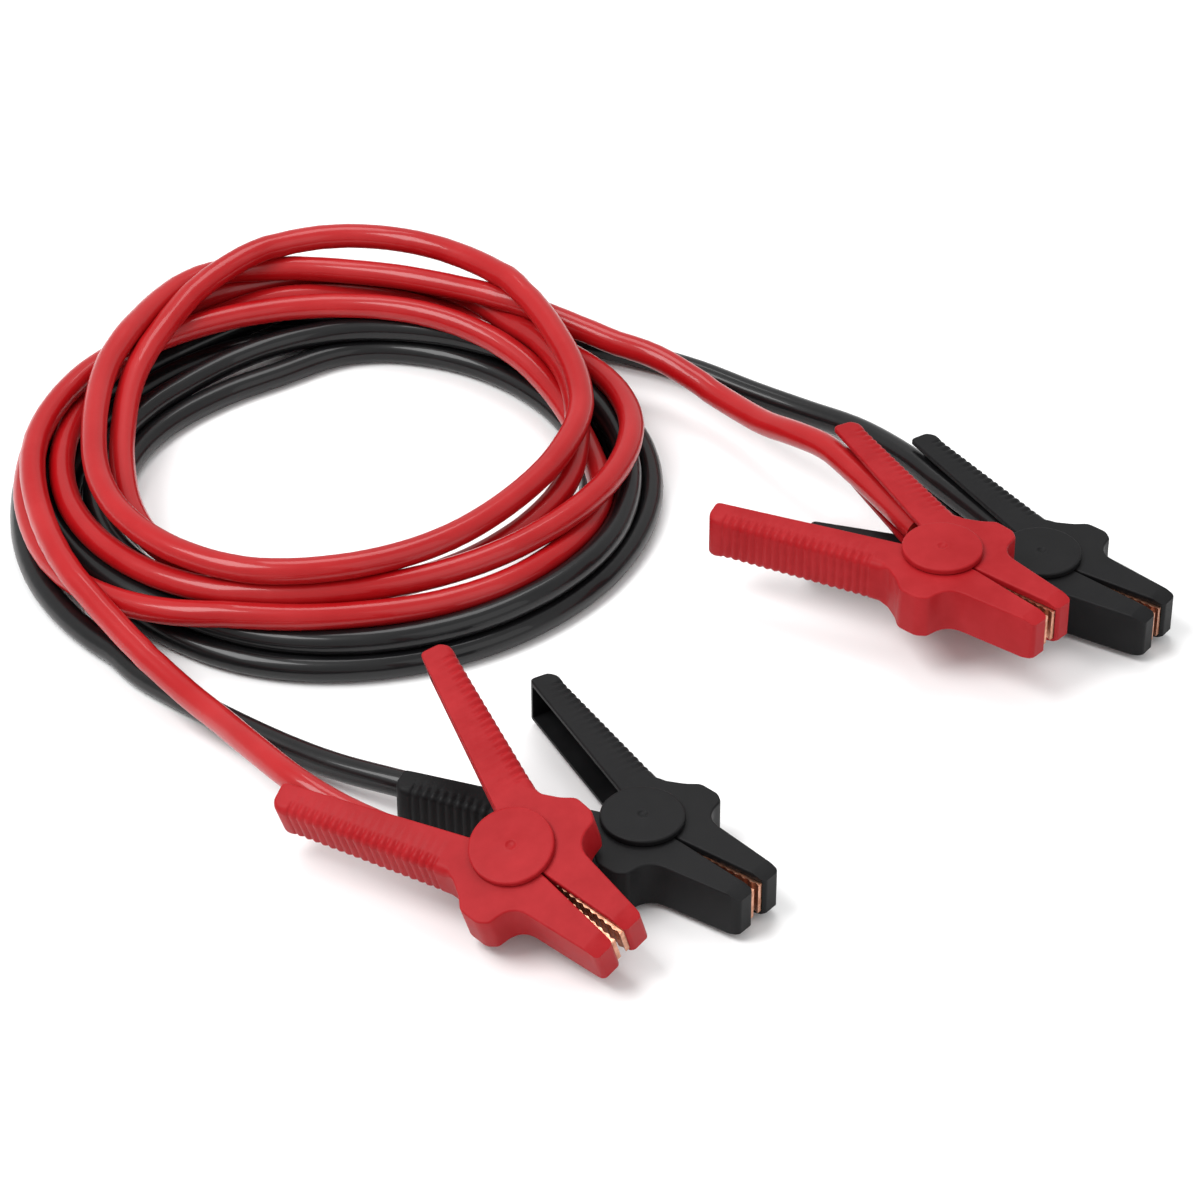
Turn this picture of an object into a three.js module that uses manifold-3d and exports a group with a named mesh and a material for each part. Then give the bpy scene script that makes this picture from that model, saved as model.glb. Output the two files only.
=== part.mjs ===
// Pair of jumper leads: a red and a black cable, each coiled once and ending in two sprung battery clamps.
// Millimetres, +Z up. The origin is the middle of the front black clamp's lower cap, on the floor.
import * as THREE from 'three';
import { mergeVertices } from 'three/addons/utils/BufferGeometryUtils.js';
import Module from 'manifold-3d';

const wasm = await Module();
wasm.setup();

// Clearances
const clearance = 0.3;
const bigCut = 40;

// Hinge and caps
const capRadius = 18;
const capHeight = 2.7;
const capEdge = 0.7;
const pinRadius = 3.7;
const knuckleRadius = 8;
const knuckleHeight = 3.4;
const fixedKnuckleHeight = 3;
const springRoom = 1.2;
const leverHeight = 21.6;

// Handle, seen from above: angles are from the clamp's centre line, offsets are square to the handle
const handleAngle = THREE.MathUtils.degToRad(17.9);
const handleLength = 105;
const handleOuterOffset = 21.1;
const handleEndWidth = 11.6;
const handleCornerRadius = 4.5;
const handleWeb = 2.6;
const handleWall = 2.2;
const handleEndWall = 2.6;
const handleEndSlant = 0.6;
const handleGripStart = 20;
const channelRoot = 6;
const channelRootCut = 6;
const leverEdgeBevel = 0.8;

// Jaw, seen from above
const jawReach = 62.4;
const jawTipOuter = 13.2;
const jawTipGap = 3.5;
const jawRootOuter = 17;
const jawRootX = 28;
const jawGapStart = 19;
const hingeGap = 0.35;
const hingeFaceBack = 1.2;
const hingeFaceLead = 1;
const hingeFaceBevel = 0.8;
const tipChamfer = 1.4;

// Finger guard between handle and jaw
const guardNearX = 3.6;
const guardFarX = 17.6;
const guardHeight = 34;
const guardFarHeight = 30;
const guardFootX = -9.5;
const guardFootHeight = 25.6;
const guardTopFall = 1;
const guardCornerRun = 5;
const guardCornerFall = 4.2;
const guardCurve = 4;
const jawShoulderRun = 3;
const jawShoulderFall = 0.5;
const jawFillet = 4;

// Copper jaw plates
const plateThickness = 1.5;
const plateHeight = 15;
const plateStart = 25;
const plateEndInset = 0.8;
const toothCount = 9;
const toothDepth = 1.1;
const toothLand = 0.3;
const toothShare = 0.6;
const crestGap = 0.25;
const crestLean = 0.35;
const plateRootGap = 0.5;
const tailKnee = 7.5;
const tailRootRun = 3;
const tailLength = 24;
const tailHeight = 6.8;

// Spring
const springWire = 2.2;
const springRadius = 6.9;
const springTop = 17.3;
const springBottom = 6.9;
const fixedLegStart = 6.2;
const movingLegStart = 9.4;
const legStartOffset = 4;
const movingLegReach = 45;
const fixedLegReach = 25;
const movingLegLevel = 15.6;
const fixedLegLevel = 8.2;

// Cable
const cableDiameter = 12;
const cableInsertion = 30;
const cableOffset = 7;
const entryRun = 20;
const settleRun = 45;
const conductorDiameter = 6.4;
const conductorEnd = 14;
const tubeSides = 10;
const tubeStep = 22;
const coilSides = 72;

// Coils
const coilCentre = [-140, 264];
const coilInnerRadius = 96;
const coilCorner = 5.5;
const blackCoilRadius = 152;
const blackCoilHeight = 25;
const redCoilRadius = 147;
const redCoilHeight = 41;

// Where the four clamps lie: hinge place, turn about +Z, and the two tilts that follow it
const clampPlaces = [
  { name: 'front_black', colour: 'black', place: [0, 0, 0], turn: -40.4, tilt: [0, 0], fixedSide: -1 },
  { name: 'front_red', colour: 'red', place: [-49.5, -27.1, 16.7], turn: -45, tilt: [20.5, -9.9], fixedSide: -1 },
  { name: 'rear_black', colour: 'black', place: [181.2, 183, 0], turn: -37.1, tilt: [0, 0], fixedSide: 1 },
  { name: 'rear_red', colour: 'red', place: [133.8, 157, 22], turn: -43, tilt: [0, 0], fixedSide: 1 },
];

// Each lead leaves its coil's wall at an angle and a height, runs through points chosen by eye, and enters the
// end of the fixed handle at an offset of its own
const leadRoutes = {
  front_black: { angle: 234, height: 6.1, entryOffset: 6,
    points: [[-221, 121, 6.1], [-206, 108, 6.1], [-182, 89, 6.2], [-154, 68, 7.5], [-130, 51, 10.5]] },
  front_red: { angle: 226.5, height: 32, entryOffset: 1.5,
    points: [[-234, 137, 28], [-218, 116, 21.5], [-198, 92, 18.7], [-182, 71, 21], [-166, 46, 26.5]] },
  rear_black: { angle: 49, height: 6.1, entryOffset: 7.5,
    points: [[-5, 373, 6.1], [28, 357, 6.1], [57, 337, 6.2], [81, 320, 7.5], [105, 300, 11]] },
  rear_red: { angle: 33.6, height: 33, entryOffset: 5,
    points: [[8, 341, 27], [26, 327, 22], [44, 308, 21], [60, 286, 25], [73, 268.5, 31.5]] },
};

// Values that follow from the sizes above
const leverBottom = capHeight + clearance;
const leverTop = leverBottom + leverHeight;
const leverMiddle = (leverBottom + leverTop) / 2;
const plateBottom = leverMiddle - plateHeight / 2;
const tailBottom = leverMiddle - tailHeight / 2;
const cavityRadius = springRadius + springWire / 2 + springRoom;
const fixedKnuckleTop = leverTop - knuckleHeight - clearance;
const fixedKnuckleBottom = fixedKnuckleTop - fixedKnuckleHeight;
const channelOuter = handleOuterOffset - handleWeb;
const coilRadii = { black: blackCoilRadius, red: redCoilRadius };

const finishes = {
  red: { color: 0xb8282c, roughness: 0.45, metalness: 0 },
  black: { color: 0x1d1d1e, roughness: 0.5, metalness: 0 },
  redCable: { color: 0xc41f22, roughness: 0.35, metalness: 0 },
  blackCable: { color: 0x181818, roughness: 0.35, metalness: 0 },
  copper: { color: 0xc98052, roughness: 0.35, metalness: 1 },
  steel: { color: 0xb9babc, roughness: 0.3, metalness: 1 },
};

function makeMesh(name, geometry, finish) {
  const mesh = new THREE.Mesh(geometry, new THREE.MeshStandardMaterial(finishes[finish]));
  mesh.name = name;
  return mesh;
}

// A closed three.js geometry as a solid that can be cut and joined
function toSolid(geometry) {
  const bare = geometry.clone();
  bare.deleteAttribute('normal');
  bare.deleteAttribute('uv');
  const merged = mergeVertices(bare, 1e-4);
  const mesh = new wasm.Mesh({
    numProp: 3,
    vertProperties: new Float32Array(merged.attributes.position.array),
    triVerts: new Uint32Array(merged.index.array),
  });
  return new wasm.Manifold(mesh);
}

function toGeometry(solid) {
  const mesh = solid.getMesh();
  const geometry = new THREE.BufferGeometry();
  geometry.setAttribute('position', new THREE.BufferAttribute(new Float32Array(mesh.vertProperties), 3));
  geometry.setIndex(new THREE.BufferAttribute(new Uint32Array(mesh.triVerts), 1));
  geometry.computeVertexNormals();
  return geometry;
}

// A plan outline raised from one level to another
function prism(shape, low, high, bevel = 0) {
  const geometry = new THREE.ExtrudeGeometry(shape, {
    depth: high - low - 2 * bevel,
    curveSegments: 5,
    bevelEnabled: bevel > 0,
    bevelSegments: 1,
    bevelSize: bevel,
    bevelThickness: bevel,
    bevelOffset: -bevel,
  });
  geometry.translate(0, 0, low + bevel);
  return geometry;
}

function roundPrism(radius, low, high, sides = 32) {
  const geometry = new THREE.CylinderGeometry(radius, radius, high - low, sides);
  geometry.rotateX(Math.PI / 2);
  geometry.translate(0, 0, (low + high) / 2);
  return geometry;
}

// A place on a handle: along runs out from the hinge, out is square to it, away from the other handle
function onHandle(along, out, side) {
  const x = -along * Math.cos(handleAngle) + out * Math.sin(handleAngle);
  const y = along * Math.sin(handleAngle) + out * Math.cos(handleAngle);
  return new THREE.Vector2(x, side * y);
}

function handleShape(corners, side) {
  return new THREE.Shape(corners.map(([along, out]) => onHandle(along, out, side)));
}

// The inner face of a jaw leans away from the centre line towards the tip
function jawInnerAt(x) {
  const share = (x - jawGapStart) / (jawReach - jawGapStart);
  return hingeGap + (jawTipGap - hingeGap) * share;
}

function leverShape(side) {
  const outerEnd = onHandle(handleLength - handleCornerRadius, handleOuterOffset, side);
  const outerCorner = onHandle(handleLength, handleOuterOffset, side);
  const endTop = onHandle(handleLength, handleOuterOffset - handleCornerRadius, side);
  const endBottom = onHandle(handleLength + handleEndSlant, handleOuterOffset - handleEndWidth, side);
  const gripStart = onHandle(handleGripStart, handleOuterOffset, side);
  const shape = new THREE.Shape();
  shape.moveTo(-hingeFaceBack, side * (hingeGap + hingeFaceBevel));
  shape.lineTo(hingeFaceLead, side * hingeGap);
  shape.lineTo(jawGapStart, side * hingeGap);
  shape.lineTo(jawReach - tipChamfer, side * jawInnerAt(jawReach - tipChamfer));
  shape.lineTo(jawReach, side * (jawTipGap + tipChamfer));
  shape.lineTo(jawReach, side * (jawTipOuter - tipChamfer));
  shape.lineTo(jawReach - tipChamfer, side * jawTipOuter);
  shape.lineTo(jawRootX + jawShoulderRun, side * (jawRootOuter - jawShoulderFall));
  shape.quadraticCurveTo(
    jawRootX - jawFillet / 2, side * jawRootOuter, jawRootX - jawFillet, side * (jawRootOuter + jawFillet));
  shape.lineTo(guardFarX, side * guardFarHeight);
  shape.lineTo(guardFarX - guardCurve, side * (guardHeight - guardTopFall));
  shape.lineTo(guardNearX, side * guardHeight);
  shape.lineTo(guardNearX - guardCornerRun, side * (guardHeight - guardCornerFall));
  shape.quadraticCurveTo(guardFootX + guardCurve, side * guardFootHeight, guardFootX, side * guardFootHeight);
  shape.lineTo(gripStart.x, gripStart.y);
  shape.lineTo(outerEnd.x, outerEnd.y);
  shape.quadraticCurveTo(outerCorner.x, outerCorner.y, endTop.x, endTop.y);
  shape.lineTo(endBottom.x, endBottom.y);
  shape.closePath();
  return shape;
}

// Back of a jaw plate, let into the jaw
function plateBackAt(x) {
  return jawInnerAt(x) + plateThickness;
}

// Toothed strip on the inner face of a jaw
function jawPlateShape(side) {
  const end = jawReach - plateEndInset;
  const pitch = (end - plateStart) / toothCount;
  const points = [];
  for (let tooth = 0; tooth < toothCount; tooth += 1) {
    const x = end - tooth * pitch;
    const crest = crestGap + crestLean * jawInnerAt(x - pitch / 2);
    points.push([x, crest + toothDepth * toothShare], [x - pitch * toothLand, crest], [x - pitch * 2 * toothLand, crest]);
  }
  points.push([plateStart, plateRootGap], [plateStart, plateBackAt(plateStart)], [end, plateBackAt(end)]);
  return new THREE.Shape(points.map(([x, y]) => new THREE.Vector2(x, side * y)));
}

function jawPocketShape(side) {
  const start = plateStart - clearance;
  const end = jawReach + 1;
  const corners = [[start, -1], [end, -1], [end, plateBackAt(end) + clearance], [start, plateBackAt(start) + clearance]];
  return new THREE.Shape(corners.map(([x, y]) => new THREE.Vector2(x, side * y)));
}

// Strip that carries the current from the conductor, past the hinge, to the plate; grow widens it into its slot
function tailShape(side, grow = 0) {
  const inner = cableOffset + conductorDiameter / 2 + clearance - grow;
  const outer = inner + plateThickness + 2 * grow;
  const bend = onHandle(conductorEnd - 2, inner, 1);
  const outerBend = onHandle(conductorEnd - 2, outer, 1);
  const corners = [
    new THREE.Vector2(plateStart + 1 - grow, jawInnerAt(plateStart) + 0.4 - grow),
    new THREE.Vector2(plateStart - tailKnee - grow, bend.y),
    bend,
    onHandle(tailLength + grow, inner, 1),
    onHandle(tailLength + grow, outer, 1),
    outerBend,
    new THREE.Vector2(plateStart - tailKnee + 1 + grow, outerBend.y),
    new THREE.Vector2(plateStart + tailRootRun + grow, plateBackAt(plateStart + tailRootRun)),
  ];
  return new THREE.Shape(corners.map(({ x, y }) => new THREE.Vector2(x, side * y)));
}

function jawPlateGeometry(side, hasTail) {
  const plate = toSolid(prism(jawPlateShape(side), plateBottom, plateBottom + plateHeight));
  if (!hasTail) return toGeometry(plate);
  return toGeometry(plate.add(toSolid(prism(tailShape(side), tailBottom, tailBottom + tailHeight))));
}

function makeLever(side, isFixed) {
  let lever = toSolid(prism(leverShape(side), leverBottom, leverTop, leverEdgeBevel));
  const channelEnd = isFixed ? handleLength + bigCut : handleLength - handleEndWall;
  const channel = handleShape([[channelRoot, -bigCut], [channelEnd, -bigCut], [channelEnd, channelOuter],
    [channelRoot + channelRootCut, channelOuter], [channelRoot, channelOuter - channelRootCut]], side);
  lever = lever.subtract(toSolid(prism(channel, leverBottom + handleWall, leverTop - handleWall)));
  const pocket = prism(jawPocketShape(side), plateBottom - clearance, plateBottom + plateHeight + clearance);
  lever = lever.subtract(toSolid(pocket));
  if (isFixed) {
    const slot = prism(tailShape(side, clearance), tailBottom - clearance, tailBottom + tailHeight + clearance);
    lever = lever.subtract(toSolid(slot));
  }
  const knuckles = isFixed
    ? [[fixedKnuckleBottom, fixedKnuckleTop]]
    : [[leverBottom, leverBottom + knuckleHeight], [leverTop - knuckleHeight, leverTop]];
  const rooms = isFixed
    ? [[leverBottom - 1, fixedKnuckleBottom - clearance], [fixedKnuckleTop, leverTop + 1]]
    : [[leverBottom + knuckleHeight, leverTop - knuckleHeight]];
  for (const [low, high] of rooms) {
    lever = lever.subtract(toSolid(roundPrism(cavityRadius, low, high)));
  }
  for (const [low, high] of knuckles) {
    lever = lever.add(toSolid(roundPrism(knuckleRadius, low, high)));
  }
  return toGeometry(lever.subtract(toSolid(roundPrism(pinRadius + clearance, leverBottom - 1, leverTop + 1))));
}

// Lower cap with the hinge pin turned in one piece; the upper cap is the same disc without the pin
function capGeometry(hasPin) {
  const profile = [
    [0, 0], [capRadius - capEdge, 0], [capRadius, capEdge], [capRadius, capHeight],
  ];
  if (hasPin) {
    profile.push([pinRadius, capHeight], [pinRadius, leverTop], [0, leverTop]);
  } else {
    profile.push([0, capHeight]);
  }
  const geometry = new THREE.LatheGeometry(profile.map(([r, z]) => new THREE.Vector2(r, z)), 32);
  geometry.rotateX(Math.PI / 2);
  return geometry;
}

// A straight leg from the turns of the spring to the web of a handle
function legGeometry(side, along, reach, level) {
  const start = onHandle(along, legStartOffset, side);
  const end = onHandle(reach, channelOuter - clearance - springWire / 2, side);
  const path = new THREE.LineCurve3(
    new THREE.Vector3(start.x, start.y, level), new THREE.Vector3(end.x, end.y, level));
  const section = new THREE.Shape(circlePoints(springWire / 2, 8));
  return new THREE.ExtrudeGeometry(section, { steps: 1, bevelEnabled: false, extrudePath: path });
}

function circlePoints(radius, sides) {
  return Array.from({ length: sides }, (_, step) => {
    const angle = 2 * Math.PI * step / sides;
    return new THREE.Vector2(radius * Math.cos(angle), radius * Math.sin(angle));
  });
}

// Close-wound turns around the hinge pin as one sleeve, with the leg that bears on the fixed lever
function springGeometry(side) {
  const inner = springRadius - springWire / 2;
  const outer = springRadius + springWire / 2;
  const profile = [[inner, springBottom], [outer, springBottom], [outer, springTop], [inner, springTop],
    [inner, springBottom]];
  const coil = new THREE.LatheGeometry(profile.map(([r, z]) => new THREE.Vector2(r, z)), 24);
  coil.rotateX(Math.PI / 2);
  const leg = legGeometry(side, fixedLegStart, fixedLegReach, fixedLegLevel);
  return toGeometry(toSolid(coil).add(toSolid(leg)));
}

function conductorGeometry(side) {
  const start = onHandle(conductorEnd, cableOffset, side);
  const end = onHandle(cableInsertion - clearance, cableOffset, side);
  const path = new THREE.LineCurve3(
    new THREE.Vector3(start.x, start.y, leverMiddle), new THREE.Vector3(end.x, end.y, leverMiddle));
  const section = new THREE.Shape(circlePoints(conductorDiameter / 2, tubeSides));
  return new THREE.ExtrudeGeometry(section, { steps: 1, bevelEnabled: false, extrudePath: path });
}

function makeClamp({ name, colour, place, turn, tilt, fixedSide }) {
  const clamp = new THREE.Group();
  const movingSide = -fixedSide;
  const upperCap = capGeometry(false);
  upperCap.rotateX(Math.PI);
  upperCap.translate(0, 0, leverTop + clearance + capHeight);
  clamp.add(
    makeMesh(`${name}_fixed_lever`, makeLever(fixedSide, true), colour),
    makeMesh(`${name}_moving_lever`, makeLever(movingSide, false), colour),
    makeMesh(`${name}_lower_cap`, capGeometry(true), colour),
    makeMesh(`${name}_upper_cap`, upperCap, colour),
    makeMesh(`${name}_spring`, springGeometry(fixedSide), 'steel'),
    makeMesh(`${name}_spring_leg`, legGeometry(movingSide, movingLegStart, movingLegReach, movingLegLevel), 'steel'),
    makeMesh(`${name}_fixed_jaw_plate`, jawPlateGeometry(fixedSide, true), 'copper'),
    makeMesh(`${name}_moving_jaw_plate`, jawPlateGeometry(movingSide, false), 'copper'),
    makeMesh(`${name}_conductor`, conductorGeometry(fixedSide), 'copper'),
  );
  clamp.position.set(...place);
  clamp.rotation.set(...[...tilt, turn].map(THREE.MathUtils.degToRad), 'XYZ');
  clamp.updateMatrixWorld(true);
  return clamp;
}

// A lead runs from its coil along its route and then up the channel of the fixed handle
function makeLead({ name, colour, fixedSide }, clamp) {
  const { angle, height, entryOffset, points } = leadRoutes[name];
  const tubeFlat = (cableDiameter / 2) * Math.cos(Math.PI / tubeSides);
  const startRadius = coilRadii[colour] + tubeFlat + clearance;
  const turn = THREE.MathUtils.degToRad(angle);
  const start = new THREE.Vector3(
    coilCentre[0] + startRadius * Math.cos(turn), coilCentre[1] + startRadius * Math.sin(turn), height);
  const inHandle = [
    [handleLength, entryOffset], [handleLength - entryRun, (entryOffset + 2 * cableOffset) / 3],
    [handleLength - settleRun, cableOffset], [cableInsertion, cableOffset],
  ].map(([along, out]) => {
    const spot = onHandle(along, out, fixedSide);
    return clamp.localToWorld(new THREE.Vector3(spot.x, spot.y, leverMiddle));
  });
  const route = [start, ...points.map((point) => new THREE.Vector3(...point)), ...inHandle];
  const path = new THREE.CatmullRomCurve3(route, false, 'centripetal');
  const geometry = new THREE.ExtrudeGeometry(new THREE.Shape(circlePoints(cableDiameter / 2, tubeSides)), {
    steps: Math.round(path.getLength() / tubeStep),
    bevelEnabled: false,
    extrudePath: path,
  });
  const end = name.split('_')[0];
  return makeMesh(`${colour}_${end}_lead`, geometry, `${colour}Cable`);
}

function makeCoil(colour, low, height) {
  const high = low + height;
  const outer = coilRadii[colour];
  const inner = coilInnerRadius;
  const profile = [
    [inner + coilCorner, low], [outer - coilCorner, low], [outer, low + coilCorner], [outer, high - coilCorner],
    [outer - coilCorner, high], [inner + coilCorner, high], [inner, high - coilCorner], [inner, low + coilCorner],
    [inner + coilCorner, low],
  ];
  const geometry = new THREE.LatheGeometry(profile.map(([r, z]) => new THREE.Vector2(r, z)), coilSides);
  geometry.rotateX(Math.PI / 2);
  const coil = makeMesh(`${colour}_coil`, geometry, `${colour}Cable`);
  coil.position.set(coilCentre[0], coilCentre[1], 0);
  return coil;
}

const leads = new THREE.Group();
for (const clampPlace of clampPlaces) {
  const clamp = makeClamp(clampPlace);
  leads.add(clamp, makeLead(clampPlace, clamp));
}
leads.add(makeCoil('black', 0, blackCoilHeight));
leads.add(makeCoil('red', blackCoilHeight + clearance, redCoilHeight));

export default leads;
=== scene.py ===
import math
import bmesh
import bpy
import numpy as np
from mathutils import Euler, Matrix, Vector


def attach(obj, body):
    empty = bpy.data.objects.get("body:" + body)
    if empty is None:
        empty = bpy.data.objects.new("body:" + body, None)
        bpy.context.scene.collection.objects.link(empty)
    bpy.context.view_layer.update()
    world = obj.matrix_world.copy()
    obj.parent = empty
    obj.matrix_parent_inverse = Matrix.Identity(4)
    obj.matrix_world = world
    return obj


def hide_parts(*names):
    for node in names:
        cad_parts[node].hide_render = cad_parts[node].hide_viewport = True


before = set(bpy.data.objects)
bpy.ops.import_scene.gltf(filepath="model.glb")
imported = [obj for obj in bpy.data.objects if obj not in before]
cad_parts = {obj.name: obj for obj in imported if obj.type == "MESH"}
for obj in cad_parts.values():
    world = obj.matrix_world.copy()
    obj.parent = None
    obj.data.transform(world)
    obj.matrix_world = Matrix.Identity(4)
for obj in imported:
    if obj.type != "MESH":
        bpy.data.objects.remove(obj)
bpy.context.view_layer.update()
mm = 0.001

# Camera: a long lens, square on to the leads, looking down at 37.5 degrees
view = {"target": (-0.0178, 0.1822, 0.0), "elevation": 37.5, "distance": 1.953, "lens": 129}


def makeCamera():
    camera = bpy.data.objects.new("camera", bpy.data.cameras.new("camera"))
    rise = math.radians(view["elevation"])
    back = Vector((0, -math.cos(rise), math.sin(rise))) * view["distance"]
    camera.location = Vector(view["target"]) + back
    camera.rotation_euler = (math.pi / 2 - rise, 0, 0)
    camera.data.lens = view["lens"]
    camera.data.sensor_width = 36
    bpy.context.collection.objects.link(camera)
    bpy.context.scene.camera = camera


makeCamera()
print("camera placed")

# Clamps: hinge place in mm, turn about Z, the tilts after it, and the side of the lever that holds the cable
clamps = {
    "front_black": {"place": (0, 0, 0), "turn": -40.4, "tilt": (0, 0), "fixedSide": -1, "colour": "black"},
    "front_red": {"place": (-49.5, -27.1, 16.7), "turn": -45, "tilt": (20.5, -9.9), "fixedSide": -1,
                  "colour": "red"},
    "rear_black": {"place": (181.2, 183, 0), "turn": -37.1, "tilt": (0, 0), "fixedSide": 1,
                   "colour": "black"},
    "rear_red": {"place": (133.8, 157, 22), "turn": -43, "tilt": (0, 0), "fixedSide": 1, "colour": "red"},
}
handle = {
    "angle": math.radians(17.9), "length": 105, "outer": 21.1, "endWidth": 13, "corner": 5.5, "endSlant": 0.6,
    "web": 2.6, "wall": 2.2, "endWall": 2.6, "gripStart": 20, "root": 6, "low": 3.0, "high": 24.6,
}
middle = (handle["low"] + handle["high"]) / 2


def clampMatrix(name):
    clamp = clamps[name]
    rx, ry = (math.radians(a) for a in clamp["tilt"])
    turn = Matrix.Rotation(rx, 4, "X") @ Matrix.Rotation(ry, 4, "Y")
    turn = turn @ Matrix.Rotation(math.radians(clamp["turn"]), 4, "Z")
    return Matrix.Translation(Vector(clamp["place"]) * mm) @ turn @ Matrix.Scale(mm, 4)


def onHandle(along, out, side=1):
    # along runs out from the hinge, out is square to the handle, away from the other one
    x = -along * math.cos(handle["angle"]) + out * math.sin(handle["angle"])
    y = along * math.sin(handle["angle"]) + out * math.cos(handle["angle"])
    return x, side * y


# Cables: the leads are laid through given points, the turns of each coil are worked out from their places
# round it
coil = {
    "centre": (-140, 264), "diameter": 12, "spacing": 7,
    "insertion": 30, "inHandle": 7, "entryRun": 20, "settleRun": 45,
}
leads = {
    "front_black": {"start": (234, 158, 6.1), "entry": 6,
                    "points": [(-221, 121, 6.1), (-206, 108, 6.1), (-182, 89, 6.2),
                               (-154, 68, 7.5), (-130, 51, 10.5)]},
    "front_red": {"start": (226.5, 153, 32), "entry": 1.5,
                  "points": [(-234, 137, 28), (-218, 116, 21.5), (-198, 92, 18.7),
                             (-182, 71, 21), (-166, 46, 26.5)]},
    "rear_black": {"start": (49, 158, 6.1), "entry": 7.5,
                   "points": [(-5, 373, 6.1), (28, 357, 6.1), (57, 337, 6.2),
                              (81, 320, 7.5), (105, 300, 11)]},
    "rear_red": {"start": (33.6, 153, 33), "entry": 5,
                 "points": [(8, 341, 27), (26, 327, 22), (44, 308, 21),
                            (60, 286, 25), (73, 268.5, 31.5)]},
}
# Each place is an angle round the coil, a radius and a height, in the order in which the cable passes them
turns = {
    "black": [
        (212, 153, 6), (186, 146, 6), (135, 142, 6), (90, 137, 6), (45, 140, 6), (0, 146, 6),
        (315, 141, 6), (270, 138, 6), (225, 131, 6), (180, 131, 6), (135, 126, 6), (90, 124, 6),
        (45, 128, 6), (0, 133, 6), (315, 128, 6), (270, 125, 6), (225, 112, 6), (180, 103, 6),
        (158, 100, 6), (129, 95, 6), (110, 97, 6), (89, 111, 6), (68, 116, 8), (45, 117, 10),
        (10, 118, 14), (315, 120, 17), (270, 120, 17), (225, 116, 17), (180, 112, 17), (141, 104, 17),
        (103, 110, 18), (82, 114, 18), (45, 124, 18), (0, 135, 17), (315, 136, 17), (270, 134, 17),
        (225, 133, 17), (180, 136, 17), (135, 137, 17), (100, 140, 17), (72, 151, 13)],
    "red": [
        (205, 144, 45), (180, 139, 50), (158, 131, 48), (135, 123, 42), (90, 117, 31), (45, 117, 31),
        (5, 118, 31), (345, 128, 31), (319, 129, 31), (271, 125, 31), (257, 128, 31), (239, 139, 31),
        (220, 147, 31), (180, 141, 31), (135, 138, 31), (90, 135, 31), (45, 137, 31), (5, 137, 36),
        (345, 129, 43), (319, 118, 43), (271, 117, 42), (257, 123, 42), (234, 127, 42), (207, 128, 43),
        (180, 128, 42), (158, 129, 37), (135, 134, 38), (90, 146, 38), (45, 128, 40), (5, 112, 43),
        (345, 110, 41), (319, 106, 38), (271, 106, 37), (225, 108, 35), (188, 100, 33), (174, 101, 34),
        (153, 110, 40), (138, 119, 46), (123, 131, 50), (109, 141, 54), (93, 149, 55), (77, 147, 55),
        (64, 140, 55), (50, 131, 54), (32, 121, 52), (18, 117, 50), (6, 114, 49), (350, 107, 47),
        (327, 101, 46), (292, 106, 48), (272, 113, 50), (256, 119, 51), (239, 120, 52), (218, 118, 54),
        (199, 114, 56), (188, 112, 56), (173, 113, 56), (156, 119, 55), (140, 126, 52), (123, 140, 46),
        (84, 132, 44), (66, 130, 42), (53, 133, 40), (43, 141, 36)],
}
settle = {
    "rounds": 600, "sink": 0.12, "hold": 0.03, "lift": 0.01, "bend": 0.14, "reach": 5, "blend": 55,
    "lateShare": 0.8, "lateSink": 0.02, "push": 0.45, "pull": 0.9,
}


def onCoil(angle, radius, height):
    turn = np.radians(angle)
    x = coil["centre"][0] + radius * np.cos(turn)
    y = coil["centre"][1] + radius * np.sin(turn)
    return np.stack(np.broadcast_arrays(x, y, height), -1)


def hermite(t, start, startSlope, end, endSlope):
    return ((2 * t**3 - 3 * t**2 + 1) * start + (t**3 - 2 * t**2 + t) * startSlope
            + (3 * t**2 - 2 * t**3) * end + (t**3 - t**2) * endSlope)


def leadRoute(name, perSpan=8):
    # the same centripetal curve through the same points as the lead's solid
    lead, clamp = leads[name], clamps[name]
    mouth, deep = handle["length"], coil["inHandle"]
    entry = [(mouth, lead["entry"]), (mouth - coil["entryRun"], (lead["entry"] + 2 * deep) / 3),
             (mouth - coil["settleRun"], deep), (coil["insertion"], deep)]
    matrix = clampMatrix(name)
    inside = [matrix @ Vector((*onHandle(*spot, clamp["fixedSide"]), middle)) / mm for spot in entry]
    points = np.array([tuple(onCoil(*lead["start"])), *lead["points"], *(tuple(p) for p in inside)], float)
    points = np.vstack([2 * points[0] - points[1], points, 2 * points[-1] - points[-2]])
    route = []
    for before, start, end, after in zip(points, points[1:], points[2:], points[3:]):
        d0, d1, d2 = (np.linalg.norm(b - a) ** 0.5 for a, b in ((before, start), (start, end), (end, after)))
        startSlope = ((start - before) / d0 - (end - before) / (d0 + d1) + (end - start) / d1) * d1
        endSlope = ((end - start) / d1 - (after - start) / (d1 + d2) + (after - end) / d2) * d1
        route += [hermite(step / perSpan, start, startSlope, end, endSlope) for step in range(perSpan)]
    return np.array(route + [points[-2]])


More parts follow.
